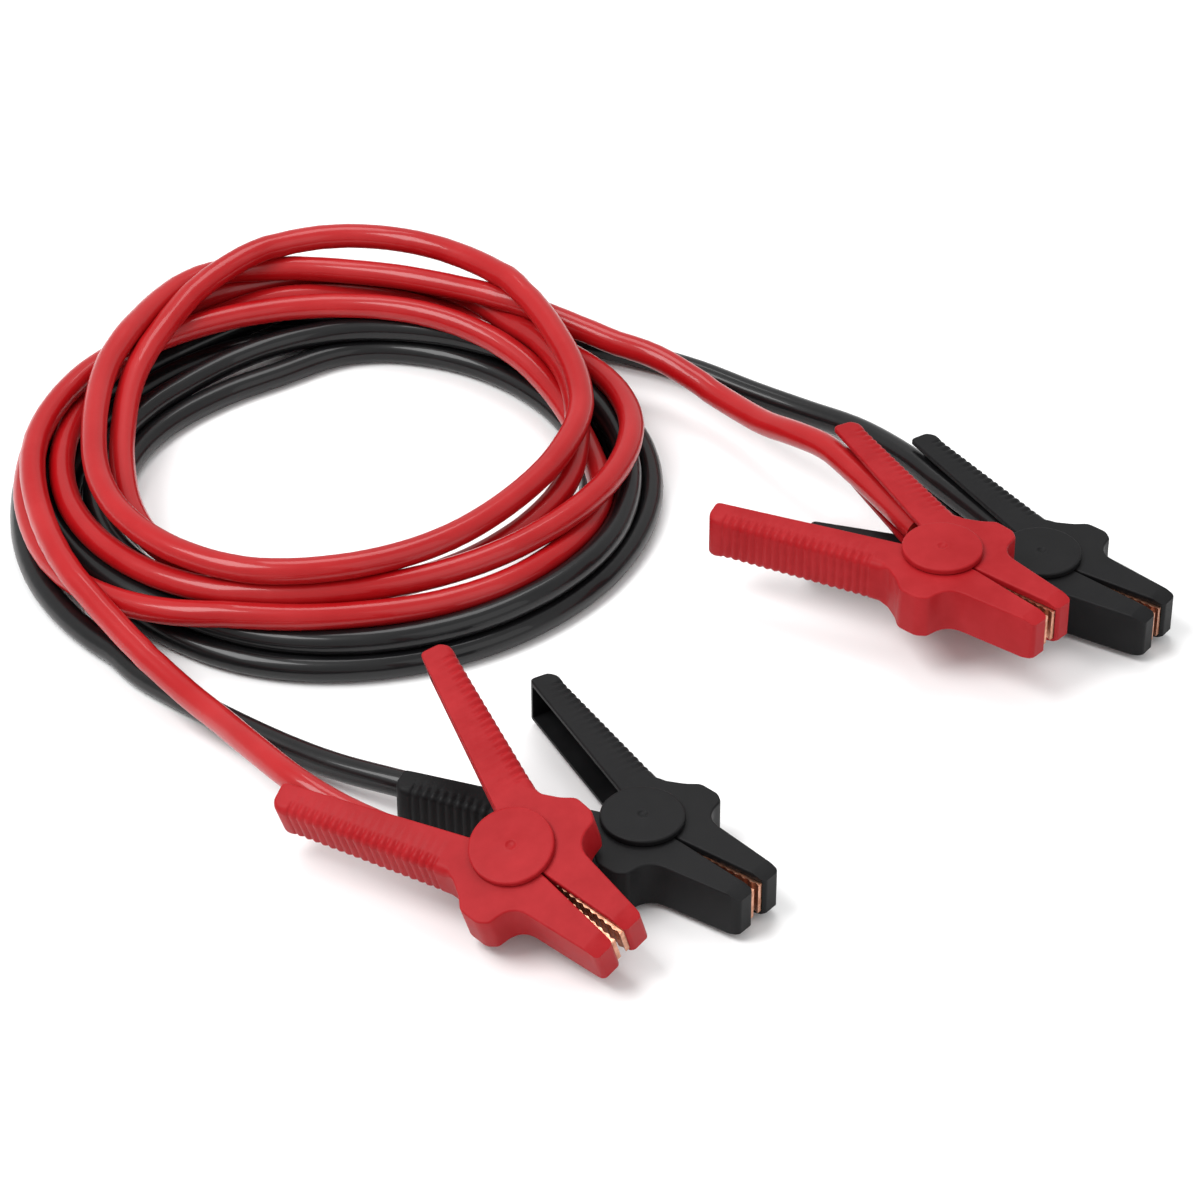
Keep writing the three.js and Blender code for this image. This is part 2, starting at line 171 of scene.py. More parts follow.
def coilTurns(colour, step=5):
    # unwinds the angles, then runs a smooth radius and height over them
    places = [leads["front_" + colour]["start"], *turns[colour], leads["rear_" + colour]["start"]]
    angles = [places[0][0]]
    for (before, *_), (after, *_) in zip(places, places[1:]):
        angles.append(angles[-1] - (before - after) % 360)
    angles = np.array(angles)
    sizes = np.array([place[1:] for place in places], float)
    slopes = np.gradient(sizes, angles, axis=0)
    dense = np.append(np.arange(angles[0], angles[-1], -step), angles[-1])
    rows = []
    for angle in dense:
        i = min(max(int(np.searchsorted(-angles, -angle, side="right")) - 1, 0), len(angles) - 2)
        width = angles[i + 1] - angles[i]
        t = (angle - angles[i]) / width
        rows.append(hermite(t, sizes[i], width * slopes[i], sizes[i + 1], width * slopes[i + 1]))
    rows = np.array(rows)
    return onCoil(dense, rows[:, 0], rows[:, 1])


def evenly(points, spacing):
    run = np.concatenate([[0], np.cumsum(np.linalg.norm(np.diff(points, axis=0), axis=1))])
    even = np.linspace(0, run[-1], int(round(run[-1] / spacing)) + 1)
    return np.stack([np.interp(even, run, points[:, axis]) for axis in range(3)], 1), run


def layCables():
    # lets both cables settle: they sink, keep their length and their bow, and never pass through each other
    colours = ("black", "red")
    laid, free, owner = [], [], []
    for index, colour in enumerate(colours):
        front, rear = leadRoute("front_" + colour)[::-1], leadRoute("rear_" + colour)
        middleTurns = coilTurns(colour)[1:-1]
        points, run = evenly(np.vstack([front, middleTurns, rear]), coil["spacing"])
        place = np.linspace(0, run[-1], len(points))
        start, end = run[len(front) - 1], run[len(front) + len(middleTurns)]
        laid.append(points)
        blend = settle["blend"]
        free.append(np.clip((np.minimum(place - start, end - place) + blend) / blend, 0, 1))
        owner.append(np.full(len(points), index))
    target = np.vstack(laid)
    cable = target.copy()
    loose, owner = np.concatenate(free)[:, None], np.concatenate(owner)
    count, thick = len(cable), coil["diameter"]
    links = np.arange(count - 1)[owner[:-1] == owner[1:]]
    rest = np.linalg.norm(target[links + 1] - target[links], axis=1)[:, None]
    inner = np.arange(3, count - 3)
    inner = inner[owner[inner - 3] == owner[inner + 3]]
    first, second = np.triu_indices(count, 1)
    apart = (owner[first] != owner[second]) | (second - first > 6)
    first, second = first[apart], second[apart]
    for step in range(settle["rounds"]):
        late = step > settle["rounds"] * settle["lateShare"]
        cable[:, 2:] -= (settle["lateSink"] if late else settle["sink"]) * loose
        cable[:, :2] += settle["hold"] * loose * (target - cable)[:, :2]
        if not late:
            cable[:, 2:] += settle["lift"] * loose * (target - cable)[:, 2:]
        for span in (3, 2):
            bow = target[inner] - (target[inner - span] + target[inner + span]) / 2
            bow[:, 2] = 0
            goal = (cable[inner - span] + cable[inner + span]) / 2 + bow
            cable[inner] += settle["bend"] * loose[inner] * (goal - cable[inner])
        if step % 10 == 0:
            close = np.linalg.norm(cable[first] - cable[second], axis=1) < thick + settle["reach"]
            nearA, nearB = first[close], second[close]
        for _ in range(3):
            gap = cable[nearA] - cable[nearB]
            distance = np.linalg.norm(gap, axis=1)
            hit = distance < thick
            a, b, gap, distance = nearA[hit], nearB[hit], gap[hit], distance[hit]
            share = np.maximum(loose[a, 0] + loose[b, 0], 1e-9)
            push = (thick - distance) / np.maximum(distance, 1e-6) * settle["push"] / share
            move, hits = np.zeros_like(cable), np.zeros((count, 1))
            np.add.at(move, a, gap * (push * loose[a, 0])[:, None])
            np.add.at(move, b, -gap * (push * loose[b, 0])[:, None])
            np.add.at(hits, a, 1)
            np.add.at(hits, b, 1)
            cable += move / np.maximum(hits, 1) * np.minimum(hits, 2)
            cable[:, 2] = np.maximum(cable[:, 2], thick / 2)
            for parity in (0, 1):
                link, length = links[parity::2], rest[parity::2]
                along = cable[link + 1] - cable[link]
                now = np.linalg.norm(along, axis=1, keepdims=True)
                share = np.maximum(loose[link] + loose[link + 1], 1e-9)
                mend = along * ((now - length) / now) * settle["pull"] / share
                cable[link] += mend * loose[link]
                cable[link + 1] -= mend * loose[link + 1]
    return {colour: cable[owner == index] * mm for index, colour in enumerate(colours)}


def makeCable(colour, points):
    curve = bpy.data.curves.new(f"{colour}_cable", "CURVE")
    curve.dimensions = "3D"
    curve.bevel_depth = 1
    curve.bevel_resolution = 8
    curve.use_fill_caps = True
    spline = curve.splines.new("POLY")
    spline.points.add(len(points) - 1)
    spline.points.foreach_set("co", np.hstack([points, np.ones((len(points), 1))]).ravel())
    spline.points.foreach_set("radius", np.full(len(points), coil["diameter"] / 2 * mm))
    spline.use_smooth = True
    cable = bpy.data.objects.new(f"{colour}_cable", curve)
    bpy.context.collection.objects.link(cable)
    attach(cable, "root")
    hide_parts(f"{colour}_coil", f"{colour}_front_lead", f"{colour}_rear_lead")
    return cable


laidCables = layCables()
cables = {colour: makeCable(colour, points) for colour, points in laidCables.items()}


# Shader maths: a socket that adds Math nodes when it is used in an expression
class Value:
    def __init__(self, finish, socket):
        self.finish, self.socket = finish, socket

    def math(self, operation, *values):
        node = self.finish.node("ShaderNodeMath", {"operation": operation}, dict(enumerate(values)))
        return Value(self.finish, node.outputs[0])

    def __add__(self, other):
        return self.math("ADD", self, other)

    def __sub__(self, other):
        return self.math("SUBTRACT", self, other)

    def __rsub__(self, other):
        return self.math("SUBTRACT", other, self)

    def __mul__(self, other):
        return self.math("MULTIPLY", self, other)

    __radd__, __rmul__ = __add__, __mul__


class Finish:
    def __init__(self, name):
        self.material = bpy.data.materials.new(name)
        self.material.use_nodes = True
        self.tree = self.material.node_tree
        self.shader = self.tree.nodes["Principled BSDF"]

    def node(self, kind, settings=None, inputs=None):
        node = self.tree.nodes.new(kind)
        for name, value in (settings or {}).items():
            if name == "stops":
                ramp = node.color_ramp.elements
                while len(ramp) < len(value):
                    ramp.new(0.5)
                for stop, (place, colour) in zip(ramp, value):
                    stop.position, stop.color = place, colour
            else:
                setattr(node, name, value)
        for name, value in (inputs or {}).items():
            self.feed(node.inputs[name], value)
        return node

    def feed(self, socket, value):
        if isinstance(value, Value):
            value = value.socket
        if isinstance(value, bpy.types.NodeSocket):
            self.tree.links.new(value, socket)
        else:
            socket.default_value = value

    def value(self, kind, settings=None, inputs=None, output=0):
        return Value(self, self.node(kind, settings, inputs).outputs[output])

    def place(self):
        return self.value("ShaderNodeTexCoord", output="Object")

    def noise(self, scale, detail=3, roughness=0.5):
        inputs = {"Vector": self.place(), "Scale": scale, "Detail": detail, "Roughness": roughness}
        return self.value("ShaderNodeTexNoise", None, inputs)

    def mixed(self, share, first, second):
        node = self.node("ShaderNodeMix", {"data_type": "RGBA"})
        colours = [socket for socket in node.inputs if socket.type == "RGBA"]
        self.feed(node.inputs[0], share)
        self.feed(colours[0], first)
        self.feed(colours[1], second)
        return Value(self, next(socket for socket in node.outputs if socket.type == "RGBA"))

    def spread(self, value, low, high):
        inputs = {"Value": value, "From Min": low, "From Max": high}
        return self.value("ShaderNodeMapRange", {"clamp": True}, inputs)

    def bump(self, height, strength, distance):
        inputs = {"Height": height, "Strength": strength, "Distance": distance}
        return self.value("ShaderNodeBump", None, inputs)

    def dress(self, **inputs):
        for name, value in inputs.items():
            self.feed(self.shader.inputs[name.replace("_", " ")], value)
        return self.material


plastics = {
    "red": {"colour": (0.30, 0.004, 0.007, 1), "pale": (0.37, 0.014, 0.018, 1),
            "rough": 0.42, "grain": 0.10},
    "black": {"colour": (0.0045, 0.0045, 0.005, 1), "pale": (0.009, 0.009, 0.0095, 1),
              "rough": 0.44, "grain": 0.12},
}
sheaths = {
    "red": {"colour": (0.35, 0.003, 0.005, 1), "pale": (0.42, 0.014, 0.016, 1),
            "rough": 0.30, "coat": 0.35},
    "black": {"colour": (0.0035, 0.0035, 0.004, 1), "pale": (0.007, 0.007, 0.0075, 1),
              "rough": 0.32, "coat": 0.35},
}


def makePlastic(name, look):
    # satin moulding: a fine spark-eroded grain, slow mottling, and a dusty bloom in patches
    finish = Finish(name)
    slow, patch, grain = finish.noise(38, 4), finish.noise(140, 5, 0.6), finish.noise(2600, 2)
    bloom = finish.spread(slow * 0.6 + patch * 0.4, 0.40, 0.72)
    colour = finish.mixed(bloom, look["colour"], look["pale"])
    rough = look["rough"] + look["grain"] * bloom + 0.05 * grain
    normal = finish.bump(grain * 0.7 + patch * 0.5, 0.35, 0.00012)
    return finish.dress(Base_Color=colour, Roughness=rough, Normal=normal, IOR=1.46, Specular_IOR_Level=0.17)


def makeSheath(name, look):
    # extruded soft vinyl: smooth gloss with faint ripples, scuffs and handling marks
    finish = Finish(name)
    slow, ripple, fine = finish.noise(24, 4), finish.noise(210, 3), finish.noise(1500, 3, 0.7)
    scuff = finish.spread(finish.noise(90, 8, 0.75), 0.56, 0.74)
    colour = finish.mixed(finish.spread(slow, 0.38, 0.70) * 0.7 + scuff * 0.3, look["colour"], look["pale"])
    rough = look["rough"] + 0.12 * scuff + 0.05 * fine
    normal = finish.bump(ripple + fine * 0.25, 0.30, 0.00015)
    return finish.dress(Base_Color=colour, Roughness=rough, Normal=normal, Coat_Weight=look["coat"], IOR=1.5,
                        Specular_IOR_Level=0.2)


def makeCopper():
    finish = Finish("bare copper")
    tarnish = finish.spread(finish.noise(260, 6, 0.7), 0.42, 0.68)
    streak = finish.noise(1900, 3)
    colour = finish.mixed(tarnish, (0.70, 0.36, 0.24, 1), (0.36, 0.14, 0.075, 1))
    normal = finish.bump(streak, 0.25, 0.0001)
    return finish.dress(Base_Color=colour, Metallic=1.0, Roughness=0.3 + 0.25 * tarnish, Normal=normal)


def makeSteel():
    finish = Finish("drawn spring wire")
    haze = finish.spread(finish.noise(420, 5, 0.6), 0.4, 0.7)
    colour = finish.mixed(haze, (0.66, 0.66, 0.65, 1), (0.42, 0.41, 0.39, 1))
    normal = finish.bump(finish.noise(3200, 2), 0.2, 0.00008)
    return finish.dress(Base_Color=colour, Metallic=1.0, Roughness=0.26 + 0.18 * haze, Normal=normal)


finishes = {
    "redPlastic": makePlastic("red moulded plastic", plastics["red"]),
    "blackPlastic": makePlastic("black moulded plastic", plastics["black"]),
    "redSheath": makeSheath("red vinyl sheath", sheaths["red"]),
    "blackSheath": makeSheath("black vinyl sheath", sheaths["black"]),
    "copper": makeCopper(),
    "steel": makeSteel(),
}
for colour, cable in cables.items():
    cable.data.materials.append(finishes[colour + "Sheath"])
print("finishes made")


# Mesh helpers, all in the clamp's own millimetres
def meshFrom(name, points, faces):
    mesh = bpy.data.meshes.new(name)
    mesh.from_pydata([tuple(point) for point in points], [], faces)
    mesh.update()
    return trianglesOnly(mesh)


def trianglesOnly(mesh):
    # large flat faces become triangles, so that cuts and shading stay clean
    work = bmesh.new()
    work.from_mesh(mesh)
    bmesh.ops.triangulate(work, faces=[face for face in work.faces if len(face.verts) > 4])
    work.to_mesh(mesh)
    work.free()
    return mesh


def prism(outline, low, high):
    count = len(outline)
    points = [(x, y, z) for z in (low, high) for x, y in outline]
    sides = [(i, (i + 1) % count, count + (i + 1) % count, count + i) for i in range(count)]
    ends = [tuple(reversed(range(count))), tuple(range(count, 2 * count))]
    return meshFrom("prism", points, ends + sides)


def circle(radius, sides):
    angles = [2 * math.pi * i / sides for i in range(sides)]
    return [(radius * math.cos(angle), radius * math.sin(angle)) for angle in angles]


def drum(radius, low, high, sides=48):
    return prism(circle(radius, sides), low, high)


def turned(name, profile, sides=96):
    # a closed solid turned about Z; the profile starts and ends on the axis
    points, faces = [(0, 0, profile[0][1])], []
    for r, z in profile[1:-1]:
        points += [(x, y, z) for x, y in circle(r, sides)]
    last = len(points)
    points.append((0, 0, profile[-1][1]))
    for i in range(sides):
        j = (i + 1) % sides
        faces.append((0, 1 + j, 1 + i))
        for ring in range(len(profile) - 3):
            a, b = 1 + ring * sides, 1 + (ring + 1) * sides
            faces.append((a + i, a + j, b + j, b + i))
        faces.append((last - sides + i, last - sides + j, last))
    return meshFrom(name, points, faces)


def wire(points, radius, sides=14):
    # a round wire along points, with flat ends; radius may be one number or one for each point
    points = [Vector(p) for p in points]
    radii = radius if hasattr(radius, "__len__") else [radius] * len(points)
    normal = (points[1] - points[0]).orthogonal().normalized()
    rings, faces = [], []
    for i, point in enumerate(points):
        along = (points[min(i + 1, len(points) - 1)] - points[max(i - 1, 0)]).normalized()
        normal = (normal - along * normal.dot(along)).normalized()
        across = along.cross(normal)
        for k in range(sides):
            turn = 2 * math.pi * k / sides
            rings.append(point + (normal * math.cos(turn) + across * math.sin(turn)) * radii[i])
    for i in range(len(points) - 1):
        a, b = i * sides, (i + 1) * sides
        faces += [(a + k, a + (k + 1) % sides, b + (k + 1) % sides, b + k) for k in range(sides)]
    faces.append(tuple(reversed(range(sides))))
    faces.append(tuple(range((len(points) - 1) * sides, len(points) * sides)))
    return rings, faces


def joinedWires(name, wires):
    points, faces = [], []
    for ring, quads in wires:
        faces += [tuple(i + len(points) for i in quad) for quad in quads]
        points += ring
    return meshFrom(name, points, faces)


def carve(mesh, *steps):
    # cuts and joins solids one after another
    body = bpy.data.objects.new("body", mesh)
    bpy.context.collection.objects.link(body)
    for operation, tool in steps:
        other = bpy.data.objects.new("tool", tool)
        bpy.context.collection.objects.link(other)
        cut = body.modifiers.new("cut", "BOOLEAN")
        cut.operation, cut.object, cut.solver = operation, other, "EXACT"
        result = bpy.data.meshes.new_from_object(body.evaluated_get(bpy.context.evaluated_depsgraph_get()))
        body.modifiers.clear()
        body.data = result
        bpy.data.objects.remove(other)
    result = body.data
    bpy.data.objects.remove(body)
    return trianglesOnly(result)


def roundedOutline(corners, step):
    # corners are x, y and how far back from the corner its round starts; step is the spacing along straights
    outline = []
    count = len(corners)
    ends = []
    for i, (x, y, cut) in enumerate(corners):
        corner = Vector((x, y))
        before, after = (Vector(corners[(i + turn) % count][:2]) for turn in (-1, 1))
        start = corner + (before - corner).normalized() * cut
        end = corner + (after - corner).normalized() * cut
        ends.append((start, corner, end, cut))
    for i, (start, corner, end, cut) in enumerate(ends):
        pieces = max(3, math.ceil(cut * 1.4))
        for k in range(pieces + 1):
            t = k / pieces
            outline.append(start * (1 - t) ** 2 + corner * 2 * t * (1 - t) + end * t ** 2)
        nextStart = ends[(i + 1) % count][0]
        run = (nextStart - end).length
        pieces = math.ceil(run / step(end, nextStart))
        outline += [end.lerp(nextStart, k / pieces) for k in range(1, pieces)]
    return outline


# Levers
lever = {
    "jawReach": 62.4, "tipOuter": 13.2, "tipGap": 3.5, "gapStart": 19, "hingeGap": 0.35, "tipChamfer": 1.4,
    "jawRoot": (19.2, 18.4), "guardFar": (17.4, 30.4), "guardTop": (13.4, 33.6), "guardNear": (3.6, 34),
    "guardShoulder": (-1.4, 29.8), "guardFoot": (-9.5, 25.6), "edge": 0.9, "gripEdge": 3.8,
    "bevelRun": 7.0, "bevelFall": 1.9, "pin": 3.7, "knuckle": 8.0, "room": 9.2,
    "knuckleHeight": 3.4, "fixedKnuckle": (17.9, 20.9), "clearance": 0.3,
}
ribs = {"pitch": 3.9, "steps": 8, "height": 0.75, "from": 27, "count": 18, "reach": 3.2}
plate = {"thickness": 1.5, "start": 25, "inset": 1.6, "low": 6.3, "high": 21.3, "teeth": 9, "depth": 1.1}
tail = {"length": 24, "low": 10.4, "high": 17.2, "bend": 12, "knee": 7.5}


def jawInnerAt(x):
    share = (x - lever["gapStart"]) / (lever["jawReach"] - lever["gapStart"])
    return lever["hingeGap"] + (lever["tipGap"] - lever["hingeGap"]) * share


def plateBackAt(x):
    return jawInnerAt(x) + plate["thickness"]


def alongHandle(point):
    along = -point.x * math.cos(handle["angle"]) + point.y * math.sin(handle["angle"])
    out = point.x * math.sin(handle["angle"]) + point.y * math.cos(handle["angle"])
    return along, out


def smoothStep(value, low, high):
    t = min(max((value - low) / (high - low), 0), 1)
    return t * t * (3 - 2 * t)


def leverOutline():
    reach, chamfer = lever["jawReach"], lever["tipChamfer"]
    corners = [
        (-1.2, 1.15, 0.4), (1, lever["hingeGap"], 0.3), (lever["gapStart"], lever["hingeGap"], 3),
        (reach - chamfer, jawInnerAt(reach - chamfer), 0.6), (reach, lever["tipGap"] + chamfer, 0.7),
        (reach, lever["tipOuter"] - chamfer, 0.7), (reach - chamfer, lever["tipOuter"], 0.8),
        (*lever["jawRoot"], 8), (*lever["guardFar"], 1.2), (*lever["guardTop"], 1.8),
        (*lever["guardNear"], 2.2), (*lever["guardShoulder"], 2.2), (*lever["guardFoot"], 1.5),
        (*onHandle(handle["gripStart"] + 1, handle["outer"]), 1.5),
        (*onHandle(handle["length"], handle["outer"]), handle["corner"]),
        (*onHandle(handle["length"] + handle["endSlant"], handle["outer"] - handle["endWidth"]), 2.6),
    ]

    def step(start, end):
        isGrip = min(alongHandle(start)[1], alongHandle(end)[1]) > handle["outer"] - 1
        return ribs["pitch"] / ribs["steps"] if isGrip else 3
    return roundedOutline(corners, step)


def leverBlank():
    # rings run from the middle of the underside, round the edge, up the wall and in over the top;
    # the crests of the ribs keep the handle's size and the grooves between them are sunk
    outline = leverOutline()
    count = len(outline)
    rows = []
    for i, point in enumerate(outline):
        along, out = alongHandle(point)
        before, after = outline[i - 1], outline[(i + 1) % count]
        edge = (after - before).normalized()
        outward = Vector((edge.y, -edge.x))
        onGrip = smoothStep(out, handle["outer"] - 5, handle["outer"] - 1) * smoothStep(along, 17, 22)
        onGrip *= 1 - 0.45 * smoothStep(along, 96, 103)
        ribbed = smoothStep(out, handle["outer"] - 0.6, handle["outer"] - 0.1)
        phase = (along - ribs["from"]) / ribs["pitch"]
        ribbed *= smoothStep(phase, -0.3, 0.2) * smoothStep(-phase, -ribs["count"] - 0.3, 0.2 - ribs["count"])
        ribbed *= (0.5 - 0.5 * math.cos(2 * math.pi * phase)) ** 0.6 - 1
        wide = smoothStep(along, 22, 26) * smoothStep(-along, -101, -97) * smoothStep(out, 20, 21)
        rounding = lever["edge"] + (lever["gripEdge"] - lever["edge"]) * onGrip
        rows.append((point, outward, rounding, ribbed * ribs["height"], wide * ribs["reach"]))
    half = []
    for turn in range(6):
        angle = math.radians(18 * turn)
        half.append([(rounding * (1 - math.cos(angle)), rounding * (1 - math.sin(angle)), swell, angle)
                     for _, _, rounding, swell, _ in rows])
    for share in (0.3, 0.6, 0.85, 1.0):
        fade = math.cos(share * math.pi / 2) ** 0.8
        half.append([(rounding + (0.12 + reach) * share, 0, swell * fade, math.pi / 2)
                     for _, _, rounding, swell, reach in rows])
    points, ringCount = [], 0
    for up, ring in [(-1, ring) for ring in reversed(half)] + [(1, ring) for ring in half]:
        level = handle["high"] if up > 0 else handle["low"]
        for (point, outward, *_), (inset, fall, swell, angle) in zip(rows, ring):
            flat = point - outward * (inset - swell * math.cos(angle))
            points.append((flat.x, flat.y, level - up * (fall - swell * math.sin(angle))))
        ringCount += 1
    faces = [tuple(reversed(range(count)))]
    for ring in range(ringCount - 1):
        a, b = ring * count, (ring + 1) * count
        faces += [(a + i, a + (i + 1) % count, b + (i + 1) % count, b + i) for i in range(count)]
    faces.append(tuple(range((ringCount - 1) * count, ringCount * count)))
    return meshFrom("lever", points, faces)


def tailOutline(grow=0):
    inner = coil["inHandle"] + strands["radius"] + lever["clearance"] - grow
    outer = inner + plate["thickness"] + 2 * grow
    start, knee = plate["start"], tail["knee"]
    return [
        (start + 1 - grow, jawInnerAt(start) + 0.4 - grow),
        (start - knee - grow, onHandle(tail["bend"], inner)[1]), onHandle(tail["bend"], inner),
        onHandle(tail["length"] + grow, inner), onHandle(tail["length"] + grow, outer),
        onHandle(tail["bend"], outer), (start - knee + 1 + grow, onHandle(tail["bend"], outer)[1]),
        (start + 3 + grow, plateBackAt(start + 3)),
    ]


def flipped(outline):
    # keeps every prism's outline counter-clockwise
    area = sum(a[0] * b[1] - b[0] * a[1] for a, b in zip(outline, outline[1:] + outline[:1]))
    return outline if area > 0 else outline[::-1]


def leverMesh(isFixed):
    low, high, wall = handle["low"], handle["high"], handle["wall"]
    end = handle["length"] + 40 if isFixed else handle["length"] - handle["endWall"]
    web, root, far = handle["outer"] - handle["web"], handle["root"], 40
    corners = [(root, -far), (end, -far), (end, web), (2 * root, web), (root, web - root)]
    channel = [onHandle(*corner) for corner in corners]
    gap = lever["clearance"]
    start, reach = plate["start"] - gap, lever["jawReach"] - plate["inset"] + gap
    pocket = [(start, -1), (reach, -1), (reach, plateBackAt(reach) + gap), (start, plateBackAt(start) + gap)]
    steps = [("DIFFERENCE", prism(flipped(channel), low + wall, high - wall)),
             ("DIFFERENCE", prism(flipped(pocket), plate["low"] - gap, plate["high"] + gap))]
    bevelStart = lever["jawReach"] - lever["bevelRun"]
    slope = lever["bevelFall"] / lever["bevelRun"]
    bevelEnd = bevelStart + 8
    for up, level in ((1, high), (-1, low)):
        side = [(bevelStart, level), (bevelEnd, level - up * 8 * slope), (bevelEnd, level + up),
                (bevelStart, level + up)]
        wedge = [(x, y, z) for y in (-2, 16) for x, z in side]
        faces = [(0, 1, 2, 3), (7, 6, 5, 4), *((i, i + 4, (i + 1) % 4 + 4, (i + 1) % 4) for i in range(4))]
        if up < 0:
            faces = [tuple(reversed(face)) for face in faces]
        steps.append(("DIFFERENCE", meshFrom("wedge", wedge, faces)))
    if isFixed:
        steps.append(("DIFFERENCE", prism(flipped(tailOutline(gap)), tail["low"] - gap, tail["high"] + gap)))
        knuckles = [lever["fixedKnuckle"]]
        rooms = [(low - 1, knuckles[0][0] - gap), (knuckles[0][1], high + 1)]
    else:
        knuckles = [(low, low + lever["knuckleHeight"]), (high - lever["knuckleHeight"], high)]
        rooms = [(knuckles[0][1], knuckles[1][0])]
    steps += [("DIFFERENCE", drum(lever["room"], *room)) for room in rooms]
    steps += [("UNION", drum(lever["knuckle"], *knuckle)) for knuckle in knuckles]
    steps.append(("DIFFERENCE", drum(lever["pin"] + gap, low - 1, high + 1)))
    return carve(leverBlank(), *steps)


# Caps: a shallow disc with a soft rim and the mark of its moulding gate in the middle
cap = {"radius": 18, "height": 2.7, "rim": 0.9, "gate": 2.6, "gateDepth": 0.45}


def capMesh(hasPin):
    radius, height, rim, gate, depth = (cap[key] for key in ("radius", "height", "rim", "gate", "gateDepth"))
    profile = [(0, depth), (gate * 0.45, depth), (gate * 0.7, depth * 0.4), (gate * 0.85, -0.06),
               (gate, -0.1), (gate * 1.15, -0.04), (gate * 1.35, 0), (radius * 0.6, 0),
               (radius - rim * 1.4, 0)]
    for turn in range(1, 7):
        angle = math.radians(15 * turn)
        profile.append((radius - rim + rim * math.sin(angle), rim - rim * math.cos(angle)))
    profile += [(radius, height - 0.3), (radius - 0.3, height)]
    profile += [(lever["pin"], height), (lever["pin"], handle["high"])] if hasPin else [(radius / 2, height)]
    profile.append((0, profile[-1][1]))
    return turned("cap", [(r, max(z, 0) if hasPin else z) for r, z in profile])


# Copper jaw plates: a strip with rounded teeth, and on the fixed side a tail back to the conductor
def plateMesh(hasTail):
    end = lever["jawReach"] - plate["inset"]
    pitch = (end - plate["start"]) / plate["teeth"]
    outline = []
    for step in range(plate["teeth"] * 8 + 1):
        x = plate["start"] + step * pitch / 8
        crest = 0.25 + 0.35 * jawInnerAt(x)
        outline.append((x, crest + plate["depth"] * 0.3 * (1 - math.cos(2 * math.pi * step / 8))))
    outline += [(end, plateBackAt(end)), (plate["start"], plateBackAt(plate["start"]))]
    mesh = prism(flipped(outline), plate["low"], plate["high"])
    if hasTail:
        mesh = carve(mesh, ("UNION", prism(flipped(tailOutline()), tail["low"], tail["high"])))
    return mesh


# Bared end of the cable: a twisted bundle, a little loose where it meets the tail
strands = {"radius": 3.2, "wire": 0.6, "rings": (1, 6, 12), "from": 14, "to": 29.7, "twist": 1.1}


def strandMesh():
    bundle = []
    for ring, count in enumerate(strands["rings"]):
        spread = ring * (strands["radius"] - strands["wire"]) / 2
        for k in range(count):
            points = []
            for step in range(13):
                share = step / 12
                along = strands["from"] + (strands["to"] - strands["from"]) * share
                turn = 2 * math.pi * k / count + strands["twist"] * share * (1 if ring == 2 else -0.7)
                wobble = 1 - 0.10 * math.sin(3.1 * k + 5 * share) * (1 - share)
                x, y = onHandle(along, coil["inHandle"] + spread * wobble * math.cos(turn))
                points.append((x, y, middle + spread * wobble * math.sin(turn)))
            bundle.append(wire(points, strands["wire"], 8))
    return joinedWires("strands", bundle)


# Spring: close turns round the pin, with a leg to each handle
spring = {
    "wire": 2.2, "radius": 6.9, "turns": 2.85, "fixedReach": 25, "movingReach": 45,
    "fixedLevel": 8.2, "movingLevel": 15.6,
}


def springLines():
    web = handle["outer"] - handle["web"] - lever["clearance"] - spring["wire"] / 2
    fixedEnd = Vector(onHandle(spring["fixedReach"], web, 1))
    movingEnd = Vector(onHandle(spring["movingReach"], web, -1))
    start = math.atan2(fixedEnd.y, fixedEnd.x) + math.acos(spring["radius"] / fixedEnd.length)
    end = math.atan2(movingEnd.y, movingEnd.x) - math.acos(spring["radius"] / movingEnd.length)
    while (end - start) / (2 * math.pi) < spring["turns"]:
        end += 2 * math.pi
    steps = math.ceil((end - start) / math.radians(9))
    turn = [start + (end - start) * k / steps for k in range(steps + 1)]
    rise = spring["movingLevel"] - spring["fixedLevel"]
    radius, level = spring["radius"], spring["fixedLevel"]
    wound = [(radius * math.cos(a), radius * math.sin(a), level + rise * k / steps)
             for k, a in enumerate(turn)]
    fixedLeg = [(*fixedEnd, spring["fixedLevel"])]
    movingLeg = [wound[-1], (*movingEnd, spring["movingLevel"])]
    return fixedLeg + wound, movingLeg


def springMesh(isMoving):
    line = springLines()[1 if isMoving else 0]
    return joinedWires("spring", [wire(line, spring["wire"] / 2)])


def placePiece(name, mesh, clampName, side, finish, body, node, sharp=35):
    # side -1 mirrors the mesh before it goes to its clamp's place
    piece = bpy.data.objects.new(name, mesh.copy())
    mirror = Matrix.Diagonal((1, side, 1, 1))
    piece.data.transform(clampMatrix(clampName) @ mirror)
    if side < 0:
        piece.data.flip_normals()
    piece.data.shade_smooth()
    piece.data.set_sharp_from_angle(angle=math.radians(sharp))
    piece.data.materials.clear()
    piece.data.materials.append(finishes[finish])
    bpy.context.collection.objects.link(piece)
    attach(piece, body)
    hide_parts(node)


def upperCapMesh():
    mesh = capMesh(False)
    top = handle["high"] + lever["clearance"] + cap["height"]
    mesh.transform(Matrix.Translation((0, 0, top)) @ Matrix.Rotation(math.pi, 4, "X"))
    return mesh


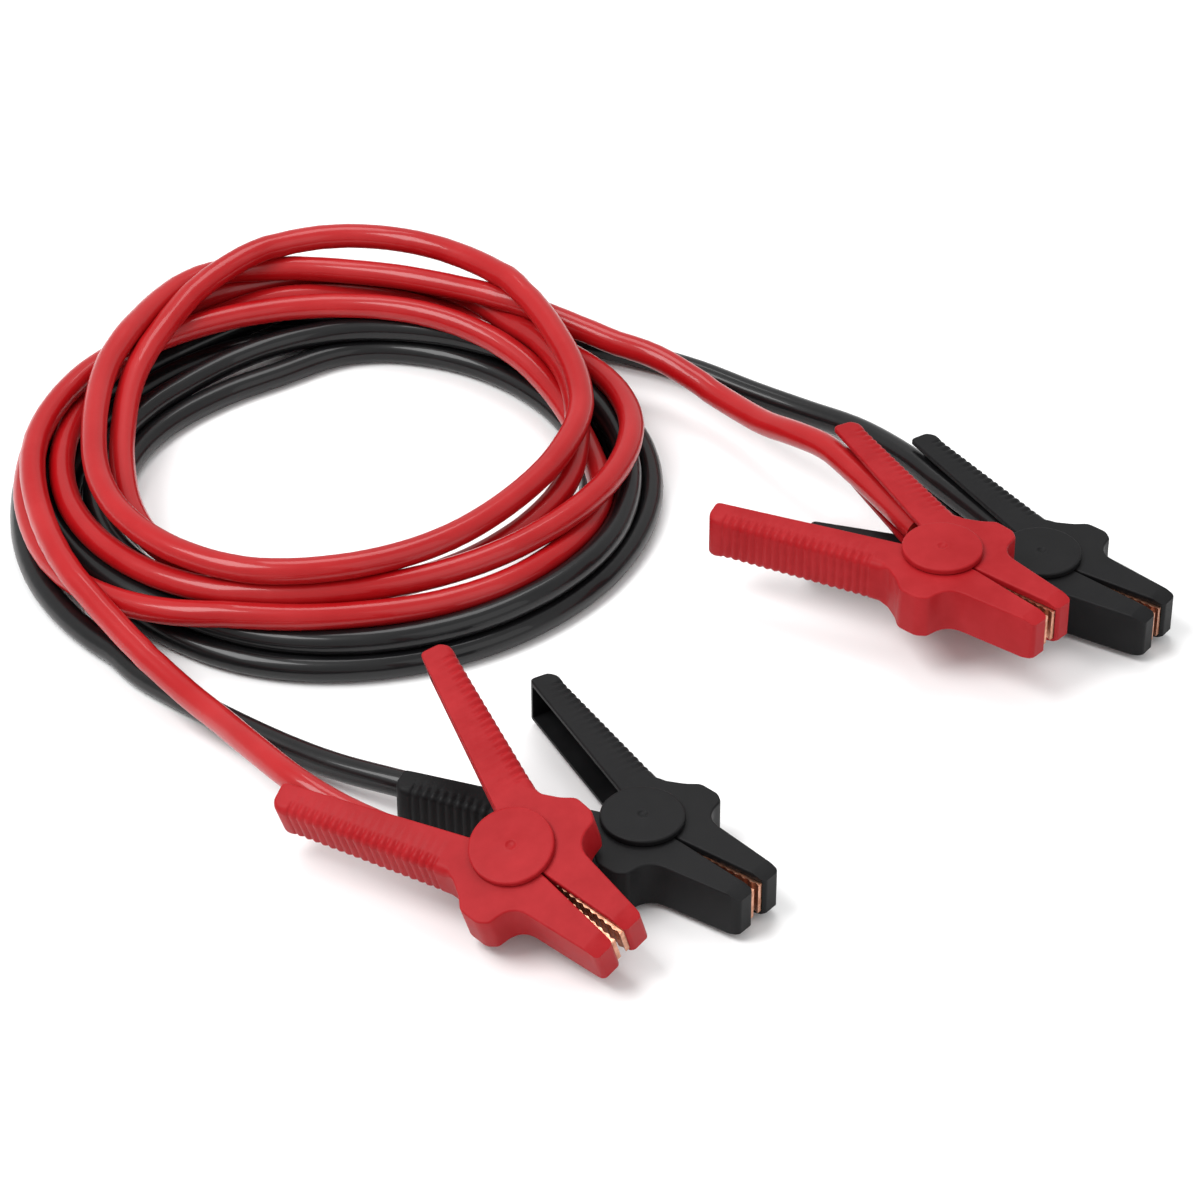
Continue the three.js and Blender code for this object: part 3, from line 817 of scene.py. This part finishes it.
patterns = {
    "fixed_lever": leverMesh(True), "moving_lever": leverMesh(False),
    "lower_cap": capMesh(True), "upper_cap": upperCapMesh(),
    "fixed_jaw_plate": plateMesh(True), "moving_jaw_plate": plateMesh(False),
    "conductor": strandMesh(), "spring": springMesh(False), "spring_leg": springMesh(True),
}
print("clamp pieces shaped:", {name: len(mesh.polygons) for name, mesh in patterns.items()})
onMovingBody = ("moving_lever", "moving_jaw_plate", "spring_leg")
onOtherSide = ("moving_lever", "moving_jaw_plate")
for clampName, clamp in clamps.items():
    plastic = (clamp["colour"] + "Plastic", clamp["colour"] + "_plastic")
    for pattern, mesh in patterns.items():
        finish, slot = plastic
        if "plate" in pattern or pattern == "conductor":
            finish, slot = "copper", "copper"
        elif "spring" in pattern:
            finish, slot = "steel", "spring_steel"
        side = -clamp["fixedSide"] if pattern in onOtherSide else clamp["fixedSide"]
        body = clampName + "_jaw" if pattern in onMovingBody else "root"
        node = f"{clampName}_{pattern}"
        placePiece(node + "_shaped", mesh, clampName, side, finish, body, node)
print("clamps placed")


# Floor and soft studio light
studio = {
    "floor": 6.0, "world": 0.72,
    "lamps": [("key", (-0.9, -0.2, 1.5), 0.9, 22), ("fill", (1.1, -0.9, 1.2), 1.4, 5),
              ("top", (0, 0.9, 1.6), 0.8, 9)],
}


def makeStudio():
    floorMesh = bpy.data.meshes.new("floor")
    half = studio["floor"] / 2
    corners = [(-half, -half, 0), (half, -half, 0), (half, half, 0), (-half, half, 0)]
    floorMesh.from_pydata(corners, [], [(0, 1, 2, 3)])
    floor = bpy.data.objects.new("floor", floorMesh)
    bpy.context.collection.objects.link(floor)
    paper = Finish("white paper")
    floorMesh.materials.append(paper.dress(Base_Color=(0.93, 0.93, 0.93, 1), Roughness=0.9))
    world = bpy.data.worlds.new("studio")
    world.use_nodes = True
    world.node_tree.nodes["Background"].inputs["Color"].default_value = (1, 1, 1, 1)
    world.node_tree.nodes["Background"].inputs["Strength"].default_value = studio["world"]
    bpy.context.scene.world = world
    bpy.context.scene.view_settings.view_transform = "Standard"
    for name, place, size, power in studio["lamps"]:
        lamp = bpy.data.objects.new(name, bpy.data.lights.new(name, "AREA"))
        lamp.data.shape, lamp.data.size, lamp.data.energy = "SQUARE", size, power
        lamp.location = place
        lamp.rotation_euler = (Vector(view["target"]) - Vector(place)).to_track_quat("-Z", "Y").to_euler()
        bpy.context.collection.objects.link(lamp)


makeStudio()
print("studio lit")
